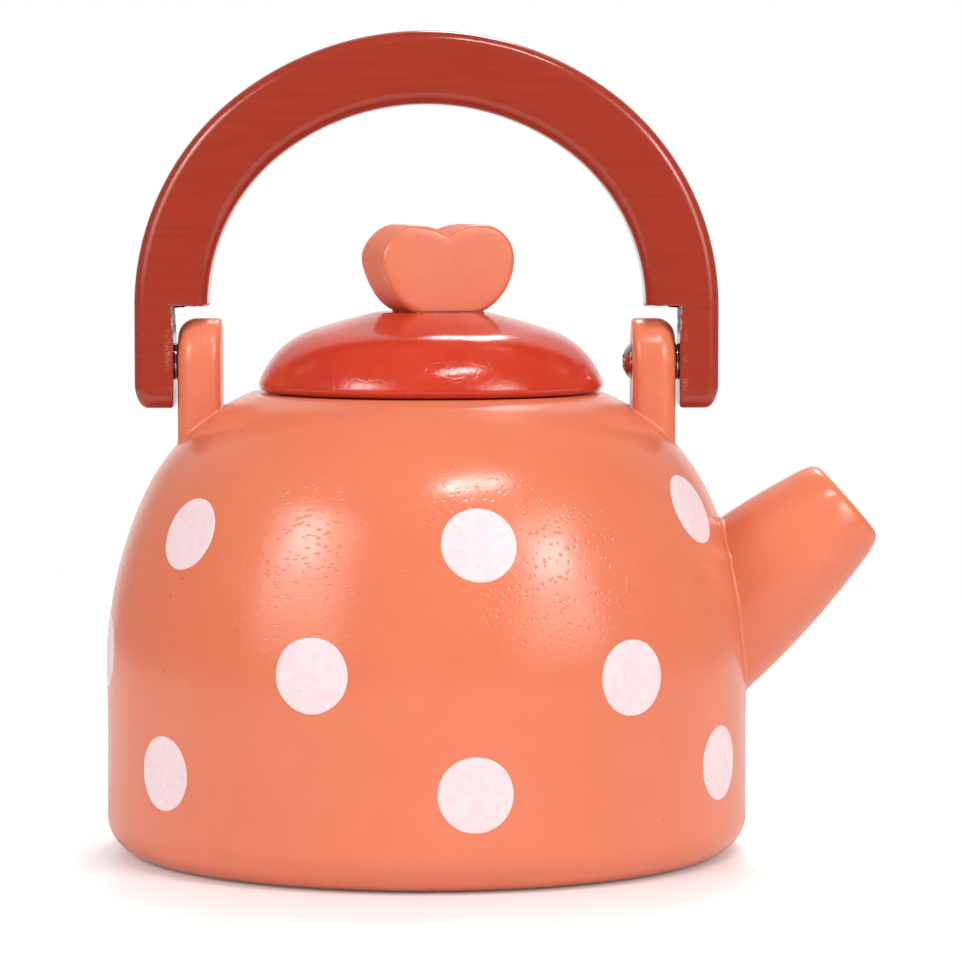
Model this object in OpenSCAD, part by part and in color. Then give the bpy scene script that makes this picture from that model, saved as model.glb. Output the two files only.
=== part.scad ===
// Wooden toy kettle: a turned body with a coped spout, a lift-off lid with a heart knob, and a
// bow handle that swings on two screws through a pair of ears.
// Millimetres, +Z up, the spout points to +X and the front faces -Y.
// The origin is the centre of the flat underside, on the axis that the body is turned about.

/* [Body] */
// Outside diameter of the body
body_d = 104; // [96:1:120]
// Height of the flat seat under the lid
body_h = 74.3; // [68:0.1:90]
// Height at which the plain wall starts to curve in
wall_h = 30; // [20:1:38]
// Diameter of the flat seat under the lid
seat_d = 57; // [54:0.5:62]
// Lean of the wall, in degrees, where the long side arc meets the tighter shoulder arc
shoulder_from = 25; // [18:1:32]
// Lean of the shoulder, in degrees, where it meets the seat
shoulder_to = 68; // [60:1:76]
// Rounding of the base edge
base_edge_r = 6; // [2:0.5:10]
// Diameter of the straight bore under the lid
cavity_d = 44; // [34:1:48]
// Thickness of wood left under the bore
floor_t = 14; // [8:1:30]

/* [Ears] */
// Step from the edge of the seat out to the inner face of an ear
ear_setback = 4.7; // [3:0.1:6]
// Thickness of an ear
ear_t = 7; // [5:0.5:8]
// Width of an ear from front to back
ear_w = 14; // [11:0.5:16]
// Rounding along the outer edge of an ear
ear_round = 3; // [1:0.25:4]
// Depth of an ear's tenon in the shoulder, below its outer face
tenon_depth = 12; // [6:0.5:18]
// Height of the handle's pivot above the seat
pivot_rise = 5; // [3:0.1:8]

/* [Handle] */
// Height of the handle's top above the pivot
handle_rise = 53.3; // [46:0.1:70]
// Width of the bow, seen from the front
band_w = 11.8; // [10:0.1:15]
// Thickness of the plank that the handle is cut from
plank_t = 12; // [9:0.5:13]
// Thickness of a leg beside its ear
leg_t = 6.3; // [5:0.1:8]
// Height of the notch's shoulder above the pivot
notch_rise = 8.9; // [8.5:0.1:12]
// Reach of a leg below the pivot
leg_drop = 7.4; // [6:0.1:8.5]
// Rounding of the plank's edges
handle_round = 2.5; // [1:0.25:3.5]
// Rounding of a leg's lower outer corner
leg_corner_r = 2.5; // [0.5:0.25:4]

/* [Pivot hardware] */
// Diameter of a pivot screw's shank
screw_d = 3; // [2:0.1:4]
// Length of a pivot screw under its head
screw_len = 11; // [9.5:0.5:11.5]
// Diameter of a pivot screw's head
screw_head_d = 5.9; // [5:0.1:8]
// Height of a pivot screw's domed head
screw_head_h = 1.4; // [1:0.1:2.4]
// Depth to which the left screw's head is let into its ear, under a plug
left_head_sink = 3; // [2.5:0.1:3.5]
// Outside diameter of the washer between ear and leg
washer_d = 6; // [5:0.1:9]
// Thickness of that washer
washer_t = 0.5; // [0.3:0.1:1.2]

/* [Spout] */
// Tilt of the spout above level, in degrees
spout_tilt = 41.2; // [30:0.1:50]
// Height at which the spout's axis leaves the wall
spout_z = 41.4; // [36:0.1:46]
// Length of the spout along its axis, from the wall to the tip
spout_out = 23.3; // [16:0.1:34]
// Diameter of the spout at its tip, before the rim is rounded
spout_tip_d = 16; // [12:0.1:19]
// Diameter of the spout at its widest, inside the wall line
spout_root_d = 25.1; // [22:0.1:28]
// Depth along the axis from the wall line back to the widest section
spout_sink = 12; // [10:0.5:16]
// Rounding of the tip's rim
spout_rim_r = 2.5; // [0.5:0.1:3]
// Diameter of the dowel that holds the spout
spout_dowel_d = 8; // [5:0.5:10]
// Length of that dowel inside the body
spout_dowel_in = 14; // [8:0.5:18]
// Length of that dowel inside the spout
spout_dowel_out = 12; // [6:0.5:14]

/* [Lid] */
// Height of the lid's flat top above the seat
lid_h = 13; // [10:0.1:18]
// Ring of seat that shows round the lid
lid_inset = 0.6; // [0.5:0.05:2]
// Rounding of the lid's lower edge
lid_edge_r = 1.2; // [0.8:0.1:2.5]
// Radius of the flat on top that carries the knob
lid_flat_r = 8.8; // [7:0.1:11]
// Depth of the locating plug under the lid
plug_h = 6; // [3:0.5:10]

/* [Knob] */
// Width of the heart
knob_w = 22.7; // [18:0.1:28]
// Height of the heart
knob_h = 14.1; // [12:0.1:18]
// Thickness of the heart
knob_t = 11.5; // [8:0.1:13]
// Width of the flat that the heart stands on
knob_base_w = 11.4; // [9:0.1:15]
// Radius of the outer half of each lobe
knob_lobe_r = 5.5; // [4:0.1:6.5]
// Depth of the cleft between the lobes
knob_cleft = 1.6; // [1:0.1:3]
// Rounding of the heart's edges
knob_edge_r = 1.5; // [0.4:0.1:2]
// Turn of the knob about the upright axis, in degrees
knob_turn = 20; // [-45:1:45]
// Step of the hand-set knob off the lid's middle, towards the spout
knob_shift = 1.1; // [0:0.1:1.5]
// Diameter of the dowel that holds the knob
knob_dowel_d = 6; // [4:0.5:7]
// Length of that dowel in the knob and in the lid, each
knob_dowel_half = 6; // [4:0.5:8]

/* [Polka dots] */
// Diameter of a dot
dot_d = 12.4; // [8:0.1:15]
// Number of dots in a row, all the way round
dots_per_row = 6; // [3:1:9]
// Height of the upper row
dot_upper_z = 53.4; // [48:0.1:56]
// Height of the middle row
dot_middle_z = 33; // [30:0.1:36]
// Height of the lower row
dot_lower_z = 16; // [13:0.1:18]
// Azimuth of the first dot of the upper and lower rows, from the front towards the spout
dot_phase = 9; // [-30:1:30]
// Turn of the dot beside the spout, in those rows, back towards the front
dot_beside_turn = 4.5; // [0:0.5:8]
// Lift of that dot in the upper row, clear of the spout
dot_beside_lift = 3.5; // [0:0.5:4]
// Thickness of the paint that makes a dot
dot_film = 0.1; // [0.05:0.01:0.3]

/* [Fits] */
// Gap all round a glued joint
glue_gap = 0.05; // [0.02:0.01:0.15]
// Radial play of a pivot screw in its ear
pivot_play = 0.08; // [0.03:0.01:0.1]
// Side play between the moving faces at a pivot
side_play = 0.12; // [0.05:0.01:0.3]
// Gap between the lid and its seat
lid_gap = 0.2; // [0.1:0.05:0.5]
// Radial play of the lid's plug in the bore
lid_play = 1; // [0.5:0.1:1.5]
// Gap left on the spout's side, where the lid lies against its play
lid_near = 0.3; // [0.2:0.05:0.5]
// Gap round a screw head that is let into an ear
head_gap = 0.3; // [0.1:0.05:0.6]

/* [Hidden] */
$fn = 96;

coral = [0.94, 0.50, 0.38];
lid_red = [0.87, 0.26, 0.15];
brick_red = [0.66, 0.23, 0.17];
pale_pink = [0.98, 0.89, 0.90];
steel = [0.76, 0.76, 0.78];
bare_wood = [0.86, 0.72, 0.52];

// Unit vector at an angle
function unit(a) = [cos(a), sin(a)];

// Two arcs, tangent where they meet, that run from p to q. The normal turns from n0 to n1 along
// the first and on to n2 along the second. Gives [centre, radius, centre, radius, meeting point].
function arc_pair(p, q, n0, n1, n2) =
    let (
        u = n1 - n0,
        v = n2 - n1,
        d = q - p,
        det = u.x * v.y - v.x * u.y,
        r = (d.x * v.y - v.x * d.y) / det,
        s = (u.x * d.y - d.x * u.y) / det,
        c = p - r * n0
    )
    [c, r, c + (r - s) * n1, s, c + r * n1];

body_r = body_d / 2;
seat_r = seat_d / 2;
dome = arc_pair([body_r, wall_h], [seat_r, body_h], unit(0), unit(shoulder_from), unit(shoulder_to));

// Lean of the wall at a height on the plain wall or the side arc
function wall_lean(z) = z <= wall_h ? 0 : asin((z - wall_h) / dome[1]);
// Radius of the wall at such a height
function wall_r(z) = dome[0].x + dome[1] * cos(wall_lean(z));
// Height of the shoulder arc at a radius
function shoulder_z(r) = dome[2].y + sqrt(pow(dome[3], 2) - pow(r - dome[2].x, 2));

pivot_z = body_h + pivot_rise;
ear_in = seat_r + ear_setback;
ear_out = ear_in + ear_t;
ear_root_z = shoulder_z(ear_out) - tenon_depth;
leg_in = ear_out + side_play + washer_t;
leg_out = leg_in + leg_t;
// Direction in which the bow's side arcs meet its top arc, on the slope of a 3-4-5 triangle
bow_meet = [0.6, 0.8];
bow = arc_pair([leg_out, notch_rise], [0, handle_rise], [1, 0], bow_meet, [0, 1]);

// Inner face of a screw's head, which is let into its ear by sink
function screw_head_x(sink) = ear_in + sink - side_play;
ear_hole_d = screw_d + 2 * pivot_play;
head_bore_d = screw_head_d + 2 * head_gap;
pilot_d = screw_d + 2 * glue_gap;

spout_x = wall_r(spout_z);
spout_run = spout_out + spout_sink;
spout_swell = (spout_root_d - spout_tip_d) / 2;
spout_flank_r = arc_r(spout_run, spout_swell);
spout_flank_c = [spout_root_d / 2 - spout_flank_r, -spout_sink];
rim_lean = asin((spout_run - spout_rim_r) / (spout_flank_r - spout_rim_r));
rim_c = spout_flank_c + (spout_flank_r - spout_rim_r) * unit(rim_lean);
rim_from = rim_c.y + spout_rim_r * sin(rim_lean);

lid_r = seat_r - lid_inset;
lid_x = lid_play - lid_near;
knob_x = lid_x + knob_shift;
lid_z = body_h + lid_gap;
lid_top_z = body_h + lid_h;
plug_r = cavity_d / 2 - lid_play;
plug_edge_r = 1;
lid_edge_c = [lid_r - lid_edge_r, lid_z + lid_edge_r];
// Leans of the lid's profile where its rim, shoulder and crown arcs meet, and at the flat
lid_leans = [20, 71, 78];
crown = arc_pair(lid_edge_c + lid_edge_r * unit(lid_leans[0]), [lid_flat_r, lid_top_z],
    unit(lid_leans[0]), unit(lid_leans[1]), unit(lid_leans[2]));

// Length to the nearest micron, so that stacked shapes share their edges
function snap(z) = round(z * 1000) / 1000;
// Radius of an arc that rises by a sagitta over half a chord
function arc_r(half_chord, rise) = (pow(half_chord, 2) + pow(rise, 2)) / (2 * rise);

knob_z = lid_top_z + glue_gap;
lobe_c = [knob_w / 2 - knob_lobe_r, knob_h - knob_lobe_r];
saddle_r = snap(arc_r(lobe_c.x, knob_cleft));
saddle_c = [lobe_c.x, knob_h - saddle_r];
flank_r = snap(arc_r(lobe_c.y, (knob_w - knob_base_w) / 2));
flank_c = [knob_w / 2 - flank_r, lobe_c.y];
dowel_chamfer = 0.6;

film_lift = 0.02;
spout_azimuth = 90;
dot_pitch = 360 / dots_per_row;
// Height of each row, azimuth of its first dot, and lift of its dot beside the spout
dot_rows = [[dot_upper_z, dot_phase, dot_beside_lift], [dot_middle_z, dot_phase - dot_pitch / 2, 0],
    [dot_lower_z, dot_phase, 0]];
cut = 1;

// Area between the axis and the right-hand side of a circle, from height z0 to z1
module under_arc(centre, r, z0, z1) {
    low = snap(z0);
    high = snap(z1);
    inner = max(snap(centre.x), 0);
    intersection() {
        translate(centre) circle(r);
        translate([inner, low]) square([snap(r), high - low]);
    }
    if (inner > 0)
        translate([0, low]) square([inner, high - low]);
}

// Rectangle about the origin with rounded corners
module rounded_bar(w, t, r) {
    square([w, t - 2 * r], center = true);
    for (end = [-1, 1])
        translate([0, end * (t - r) / 2]) square([w - 2 * r, r], center = true);
    for (turn = [0:90:270]) {
        corner = unit(turn + 45) * sqrt(2);
        translate([corner.x * (w / 2 - r), corner.y * (t / 2 - r)]) rotate(turn) intersection() {
            circle(r);
            square(r);
        }
    }
}

// Pin along +Z from z0 to z1 with chamfered ends
module dowel(d, z0, z1) {
    r = d / 2;
    c = dowel_chamfer;
    rotate_extrude() polygon([[0, z0], [r - c, z0], [r, z0 + c], [r, z1 - c], [r - c, z1], [0, z1]]);
}

// Half profile of the body's outside, set out from the real surface by grow
module body_profile(grow = 0) {
    under_arc([body_r - base_edge_r, base_edge_r], base_edge_r + grow, -grow, base_edge_r);
    translate([0, base_edge_r]) square([body_r + grow, wall_h - base_edge_r]);
    under_arc(dome[0], dome[1] + grow, wall_h, dome[4].y + grow * sin(shoulder_from));
    under_arc(dome[2], dome[3] + grow, dome[4].y + grow * sin(shoulder_from), body_h);
}

// Half of an ear's cross-section, from its middle plane forwards, rounded over on the outside
module ear_half(grow = 0) {
    half = ear_w / 2 + grow;
    outer = ear_t + grow;
    translate([0, -grow]) square([half, outer - ear_round + grow]);
    under_arc([half - ear_round, outer - ear_round], ear_round, outer - ear_round, outer);
}

// Straight length of an ear, from a height up to another, grown all round for a mortise
module ear_prism(z0, z1, grow = 0) {
    translate([ear_in, 0, z0]) rotate(-90) linear_extrude(z1 - z0) {
        ear_half(grow);
        mirror([1, 0]) ear_half(grow);
    }
}

// Places children along the pivot axis, from the kettle's middle out to +X
module on_pivot() {
    translate([0, 0, pivot_z]) rotate([0, 90, 0]) children();
}

// Places children on the spout's axis, with z = 0 where it leaves the wall
module on_spout() {
    translate([spout_x, 0, spout_z]) rotate([0, 90 - spout_tilt, 0]) children();
}

// Turns the right-hand piece round to the left-hand side
module left_side() {
    rotate(180) children();
}

module body() {
    color(coral) difference() {
        rotate_extrude() body_profile();
        translate([0, 0, floor_t]) cylinder(d = cavity_d, h = body_h);
        ear_prism(ear_root_z - glue_gap, body_h + cut, glue_gap);
        left_side() ear_prism(ear_root_z - glue_gap, body_h + cut, glue_gap);
        on_spout() translate([0, 0, -spout_dowel_in - glue_gap])
            cylinder(d = spout_dowel_d + 2 * glue_gap, h = spout_dowel_in + spout_out);
    }
}

// Ear with a plain hole for its screw, and a wider one as deep as the head is let in
module ear(sink = 0) {
    color(coral) difference() {
        union() {
            ear_prism(ear_root_z, pivot_z);
            on_pivot() translate([0, 0, ear_in]) rotate_extrude(angle = 180, start = 90) ear_half();
        }
        on_pivot() translate([0, 0, ear_in - cut]) {
            cylinder(d = ear_hole_d, h = ear_t + 2 * cut);
            if (sink > 0)
                cylinder(d = head_bore_d, h = sink + cut);
        }
    }
}

module left_ear() {
    left_side() ear(left_head_sink);
}

module right_ear() {
    ear();
}

module spout() {
    color(coral) difference() {
        on_spout() rotate_extrude() {
            under_arc(spout_flank_c, spout_flank_r, -spout_sink, rim_from);
            under_arc(rim_c, spout_rim_r, rim_from, spout_out);
        }
        rotate_extrude() body_profile(glue_gap);
        on_spout() translate([0, 0, -spout_sink - cut])
            cylinder(d = spout_dowel_d + 2 * glue_gap, h = spout_sink + cut + spout_dowel_out + glue_gap);
    }
}

module spout_dowel() {
    color(bare_wood) on_spout() dowel(spout_dowel_d, -spout_dowel_in, spout_dowel_out);
}

// Leg of the handle beside the ear, drawn flat with the pivot at the origin
module leg() {
    length = notch_rise + leg_drop;
    intersection() {
        translate([leg_out - band_w / 2, notch_rise]) rotate([90, 0, 0])
            linear_extrude(length) rounded_bar(band_w, plank_t, handle_round);
        linear_extrude(plank_t, center = true) translate([leg_in, 0]) {
            translate([0, leg_corner_r - leg_drop]) square([leg_t, length - leg_corner_r]);
            translate([0, -leg_drop])
                under_arc([leg_t - leg_corner_r, leg_corner_r], leg_corner_r, 0, leg_corner_r);
        }
        translate([leg_in, 0, 0]) rotate([90, 0, 90]) linear_extrude(leg_t)
            translate([notch_rise, 0]) rounded_bar(2 * length, plank_t, handle_round);
    }
}

// Stretch of the bow about a centre, between two directions
module bow_arc(centre, r, from, to) {
    intersection() {
        translate(centre) rotate_extrude()
            translate([r - band_w / 2, 0]) rounded_bar(band_w, plank_t, handle_round);
        linear_extrude(2 * plank_t, center = true)
            polygon([centre, centre + 2 * r * from, centre + 2 * r * to]);
    }
}

module handle() {
    color(brick_red) translate([0, 0, pivot_z]) rotate([90, 0, 0]) difference() {
        union() {
            for (side = [0, 1])
                mirror([side, 0, 0]) {
                    bow_arc(bow[0], bow[1], [1, 0], bow_meet);
                    leg();
                }
            bow_arc(bow[2], bow[3], bow_meet, [-bow_meet.x, bow_meet.y]);
        }
        for (side = [0, 1])
            mirror([side, 0, 0]) translate([ear_in, 0, 0]) rotate([0, 90, 0])
                cylinder(d = pilot_d, h = screw_len);
    }
}

// Screw from the inner face of an ear, or a bore sunk in it, out into the leg, with a low domed head
module pivot_screw(sink = 0) {
    dome_r = arc_r(screw_head_d / 2, screw_head_h);
    color(steel) on_pivot() translate([0, 0, screw_head_x(sink)]) {
        rotate([180, 0, 0]) rotate_extrude()
            under_arc([0, screw_head_h - dome_r], dome_r, 0, screw_head_h);
        cylinder(d = screw_d, h = screw_len - sink);
    }
}

module left_pivot_screw() {
    left_side() pivot_screw(left_head_sink);
}

module right_pivot_screw() {
    pivot_screw();
}

// Flush plug that hides the left screw's head
module left_plug() {
    depth = screw_head_x(left_head_sink) - screw_head_h - head_gap - ear_in;
    color(coral) left_side() on_pivot() translate([0, 0, ear_in])
        cylinder(d = head_bore_d - 2 * glue_gap, h = depth);
}

module washer() {
    color(steel) on_pivot() translate([0, 0, leg_in - washer_t]) difference() {
        cylinder(d = washer_d, h = washer_t);
        translate([0, 0, -cut]) cylinder(d = ear_hole_d, h = washer_t + 2 * cut);
    }
}

module left_washer() {
    left_side() washer();
}

module right_washer() {
    washer();
}

module lid() {
    plug_z = lid_z - plug_h;
    color(lid_red) difference() {
        translate([lid_x, 0, 0]) rotate_extrude() {
            under_arc([plug_r - plug_edge_r, plug_z + plug_edge_r], plug_edge_r, plug_z, plug_z + plug_edge_r);
            translate([0, plug_z + plug_edge_r]) square([plug_r, plug_h - plug_edge_r]);
            under_arc(lid_edge_c, lid_edge_r, lid_z, lid_edge_c.y + lid_edge_r * sin(lid_leans[0]));
            under_arc(crown[0], crown[1], lid_edge_c.y + lid_edge_r * sin(lid_leans[0]), crown[4].y);
            under_arc(crown[2], crown[3], crown[4].y, lid_top_z);
        }
        translate([knob_x, 0, lid_top_z - knob_dowel_half - glue_gap])
            cylinder(d = knob_dowel_d + 2 * glue_gap, h = knob_dowel_half + glue_gap + cut);
    }
}

// Disc of the knob's thickness about a centre, rounded over on both faces
module heart_disc(centre, r) {
    translate(centre) rotate_extrude() intersection() {
        rounded_bar(2 * r, knob_t, knob_edge_r);
        translate([0, -knob_t]) square([r, 2 * knob_t]);
    }
}

// Half of the heart, flat, bounded by the cleft's arc, the outer quarter of a lobe and the flank
module half_heart() {
    intersection() {
        heart_disc(saddle_c, saddle_r);
        heart_disc(flank_c, flank_r);
        linear_extrude(2 * knob_t, center = true) difference() {
            square([knob_w, 2 * knob_h]);
            translate(lobe_c) square(2 * knob_h);
        }
    }
    intersection() {
        heart_disc(lobe_c, knob_lobe_r);
        linear_extrude(2 * knob_t, center = true) translate(lobe_c) square(knob_h);
    }
}

module knob() {
    color(coral) translate([knob_x, 0, knob_z]) rotate(knob_turn) difference() {
        rotate([90, 0, 0])
            for (side = [0, 1])
                mirror([side, 0, 0]) half_heart();
        translate([0, 0, -cut]) cylinder(d = knob_dowel_d + 2 * glue_gap, h = knob_dowel_half + glue_gap + cut);
    }
}

module knob_dowel() {
    color(bare_wood) translate([knob_x, 0, knob_z]) dowel(knob_dowel_d, -knob_dowel_half, knob_dowel_half);
}

// Round of film over the wall at a height and an azimuth from the front
module dot_cutter(z, azimuth) {
    rotate(azimuth) translate([0, -wall_r(z), z]) rotate([90 - wall_lean(z), 0, 0])
        cylinder(d = dot_d, h = dot_d, center = true);
}

// Distance along the wall from a dot's centre to the spout's axis
function from_spout(z, azimuth) = norm([2 * wall_r(z) * sin((azimuth - spout_azimuth) / 2), z - spout_z]);

// 1 for the dot just in front of the spout, else 0
function beside_spout(azimuth) =
    azimuth < spout_azimuth && azimuth > spout_azimuth - dot_pitch / 2 ? 1 : 0;

module polka_dots() {
    color(pale_pink) intersection() {
        difference() {
            rotate_extrude() body_profile(film_lift + dot_film);
            rotate_extrude() body_profile(film_lift);
        }
        for (row = dot_rows, i = [0:dots_per_row - 1]) {
            azimuth = row[1] + i * dot_pitch;
            beside = beside_spout(azimuth);
            if (from_spout(row[0], azimuth) > (spout_root_d + dot_d) / 2)
                dot_cutter(row[0] + beside * row[2], azimuth - beside * dot_beside_turn);
        }
    }
}

body();
left_ear();
right_ear();
spout();
spout_dowel();
handle();
left_pivot_screw();
right_pivot_screw();
left_plug();
left_washer();
right_washer();
lid();
knob();
knob_dowel();
polka_dots();
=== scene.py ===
"""Looks of a painted wooden toy kettle: a coral body with pale dots, a spout, two ears, a red lid
with a heart knob, and a brick-red bow handle that swings on two screws.

Shapes are worked out in millimetres, in the CAD model's own frame: +Z is up along the body's turning
axis, +X points towards the spout and -Y is the front. Surfaces are grids of points, turned into metres
when a piece is made.
"""
import math

import bmesh
import bpy
import numpy as np
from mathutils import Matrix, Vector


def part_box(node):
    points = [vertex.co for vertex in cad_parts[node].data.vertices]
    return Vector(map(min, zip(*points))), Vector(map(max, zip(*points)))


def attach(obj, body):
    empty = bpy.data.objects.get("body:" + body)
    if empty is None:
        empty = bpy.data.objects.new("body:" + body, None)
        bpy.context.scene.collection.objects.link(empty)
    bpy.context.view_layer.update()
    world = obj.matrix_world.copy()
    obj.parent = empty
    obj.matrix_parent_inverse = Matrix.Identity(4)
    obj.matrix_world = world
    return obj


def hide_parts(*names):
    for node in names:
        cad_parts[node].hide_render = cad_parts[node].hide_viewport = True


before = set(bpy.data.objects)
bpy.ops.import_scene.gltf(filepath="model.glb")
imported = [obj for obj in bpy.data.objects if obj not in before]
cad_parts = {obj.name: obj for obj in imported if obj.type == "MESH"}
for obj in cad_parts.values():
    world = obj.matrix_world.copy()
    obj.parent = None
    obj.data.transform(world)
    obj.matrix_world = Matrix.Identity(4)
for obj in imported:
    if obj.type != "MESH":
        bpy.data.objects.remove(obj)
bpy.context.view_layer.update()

MM = 0.001
TURN = 2 * np.pi


# Sizes in millimetres; angles in degrees, unless math.radians converts them

def node_box(node):
    """Lowest and highest corner of a CAD node, in millimetres, to the nearest micron."""
    return np.round(np.array(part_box(node)) / MM, 3)


body_high = node_box("body")[1]
BODY_R = body_high[0]
BODY_H = body_high[2]
WALL_H = 30
BASE_EDGE_R = 6
SEAT_R = 28.5
SHOULDER_LEANS = (0, 25, 68)
BORE_R = 22
BORE_EDGE_R = 0.8
BORE_FLOOR = 14
SANDING_DEPTH = 0.05
SANDING_PITCH = 17

DOT_R = 5.95
# Each row's height, its first dot's azimuth, and the lift of its dot beside the spout
DOT_ROWS = ((53.4, 9, 3.5), (33, -21, 0), (16, 9, 0))
DOTS_PER_ROW = 6
DOT_BESIDE_TURN = 4.5
# Rise and turn of single dots, by row and place in the row
DOT_SHIFTS = {(0, 0): (-0.1, 0.6), (0, 1): (-0.1, 0.4), (0, 5): (0.3, -0.3),
              (1, 0): (0.5, 1.1), (1, 1): (-0.7, -1.4),
              (2, 0): (-0.5, -0.8), (2, 1): (0.8, -1.6), (2, 5): (0.3, -1.2)}
DOT_FILM = 0.07
DOT_RIM = 0.03
DOT_RIM_AT, DOT_RIM_SPREAD = 0.955, 0.03
DOT_ROOT = -0.3
# Waves round a dot's edge and their depth, and how far apart the dots lie in the noise
DOT_WANDER = ((1.5, 0.12), (9, 0.05))
DOT_NOISE_STEP = 9

ear_low, ear_high = node_box("right_ear")
EAR_IN, EAR_OUT = ear_low[0], ear_high[0]
EAR_HALF_W = ear_high[1]
PIVOT_Z = ear_high[2] - EAR_HALF_W
EAR_DEPTH = PIVOT_Z - ear_low[2]
EAR_ROUND = 3
EAR_INNER_ROUND = 1.8
EAR_TOP_ROUND = 0.6
EAR_HOLE_R = 1.58
SINK_R = 3.25
EAR_BEAD = 0.9
EAR_BEAD_BACK = (0.4, 0.6)
BEAD_TUCK = 0.03

SPOUT_TILT = math.radians(41.2)
SPOUT_Z = 41.4
SPOUT_AZIMUTH = 90
SPOUT_OUT = 23.29
SPOUT_SINK = 12
SPOUT_ROOT_R = 12.55
SPOUT_TIP_R = 8
SPOUT_RIM_R = 2.0
SPOUT_EASE = 13
SPOUT_EASE_R = 10
SPOUT_BEAD = 0.8
SPOUT_BEAD_BACK = 0.5

handle_low, handle_high = node_box("handle")
LEG_OUT = handle_high[0]
HANDLE_TOP = handle_high[2]
LEG_END = handle_low[2]
PLANK_HALF_T = handle_high[1]
BAND_W = 11.8
LEG_W = 6.3
LEG_IN = LEG_OUT - LEG_W
NOTCH_RISE = 8.9
NOTCH_Z = PIVOT_Z + NOTCH_RISE
HANDLE_ROUND = 2.1
LEG_CORNER = (2.2, 4.0)
LEG_TOE = 0.6
CUT_EDGE_R = 0.45
CUT_REACH = 0.3
TORN_DEPTH = 0.4
TORN_FADE = 4.5
# Where the pale specks lie in from the legs' sawn edges: a painted broken highlight, with some wear
GLINT_WEAR_AT, GLINT_WEAR_SPREAD = 0.75, 0.4
GLINT_WEAR_FADE = 1.5

lid_low, lid_high = node_box("lid")
LID_X = (lid_low[0] + lid_high[0]) / 2
LID_R = (lid_high[0] - lid_low[0]) / 2
LID_TOP = lid_high[2]
PLUG_Z = lid_low[2]
PLUG_H = 6
PLUG_R = 21
PLUG_EDGE_R = 1
LID_EDGE_R = 1.2
LID_LEANS = (20, 71, 78)
LID_FLAT_R = 8.8

knob_low, knob_high = node_box("knob")
KNOB_X = (knob_low[0] + knob_high[0]) / 2
KNOB_Z = knob_low[2]
KNOB_H = knob_high[2] - knob_low[2]
KNOB_TURN = math.radians(20)
KNOB_HALF_W = 11.35
KNOB_HALF_T = 5.75
KNOB_BASE = 5.7
LOBE_R = 5.5
CLEFT = 1.6
KNOB_EDGE_R = 1.0
KNOB_BEAD = 0.22
KNOB_BEAD_TUCK = 0.05
KNOB_FOOT_R = 0.45
SANDED_FLANK = 0.03
SANDED_SHOULDER = 0.05

screw_low, screw_high = node_box("right_pivot_screw")
LEFT_SINK = -node_box("left_pivot_screw")[1][0] - screw_low[0]
plug_low, plug_high = node_box("left_plug")
HEAD_R = 2.95
HEAD_H = 1.4
SHANK_R = 1.5
SCREW_TIP = 2
RECESS_HALF_W = 0.45
RECESS_SLOPE = 0.22
RECESS_REACH = 1.6
RECESS_END = 0.3
RECESS_DEPTH = 0.5
PLUG_EASE = 0.15
washer_low, washer_high = node_box("right_washer")
WASHER_R = washer_high[1]
WASHER_EASE = 0.12


# Curves and grids

def unit(degrees):
    """Unit vector at an angle from the first axis."""
    a = np.radians(degrees)
    return np.array([np.cos(a), np.sin(a)])


def arc(centre, radius, start, end, count):
    """Points on a circle, evenly from one angle in degrees to another."""
    a = np.radians(np.linspace(start, end, count))
    return np.asarray(centre) + radius * np.stack([np.cos(a), np.sin(a)], axis=-1)


def straight(start, end, count):
    """Evenly spaced points on a straight line."""
    t = np.linspace(0, 1, count)[:, None]
    return (1 - t) * np.asarray(start, float) + t * np.asarray(end, float)


def chain(*runs):
    """Joins runs of points end to end, and drops each point that repeats the one before."""
    points = np.concatenate(runs)
    step = np.linalg.norm(np.diff(points, axis=0), axis=1)
    return points[np.r_[True, step > 1e-6]]


def arc_radius(half_chord, rise):
    """Radius of an arc that rises by a sagitta over half a chord: (c^2 + s^2) / 2s."""
    return (half_chord**2 + rise**2) / (2 * rise)


def arc_pair(start, end, leans):
    """Two arcs, tangent where they meet, whose normal turns from leans[0] to leans[1] to leans[2].
    With p - q = r (n0 - n1) + s (n1 - n2), the radii r and s follow from two linear equations.
    Gives each arc's centre and radius."""
    n0, n1, n2 = (unit(a) for a in leans)
    r, s = np.linalg.solve(np.stack([n1 - n0, n2 - n1], axis=1), np.subtract(end, start))
    first = np.asarray(start) - r * n0
    return (first, r), (first + (r - s) * n1, s)


def lathe(profile, columns):
    """Turns a profile of (radius, height) points about +Z: x = r cos a, y = r sin a, z = height."""
    a = np.linspace(0, TURN, columns, endpoint=False)
    r, z = profile[:, :1], profile[:, 1:]
    return np.stack([r * np.cos(a), r * np.sin(a), z + 0 * a], axis=-1)


def tube(sections):
    """A shell that is closed along the rows and the columns of its grid."""
    return sections, True, True


def turned(sections):
    """A shell that is closed round its columns, with a pole at its first and last row."""
    return sections, False, True


def grid_faces(rows, columns, wrap_rows, wrap_columns):
    """Quads between the neighbours of a grid of points, wrapped round where asked."""
    r = np.arange(rows if wrap_rows else rows - 1)[:, None]
    c = np.arange(columns if wrap_columns else columns - 1)[None, :]
    r1, c1 = (r + 1) % rows, (c + 1) % columns
    corners = [r * columns + c, r * columns + c1, r1 * columns + c1, r1 * columns + c]
    return np.stack(corners, axis=-1).reshape(-1, 4)


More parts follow.
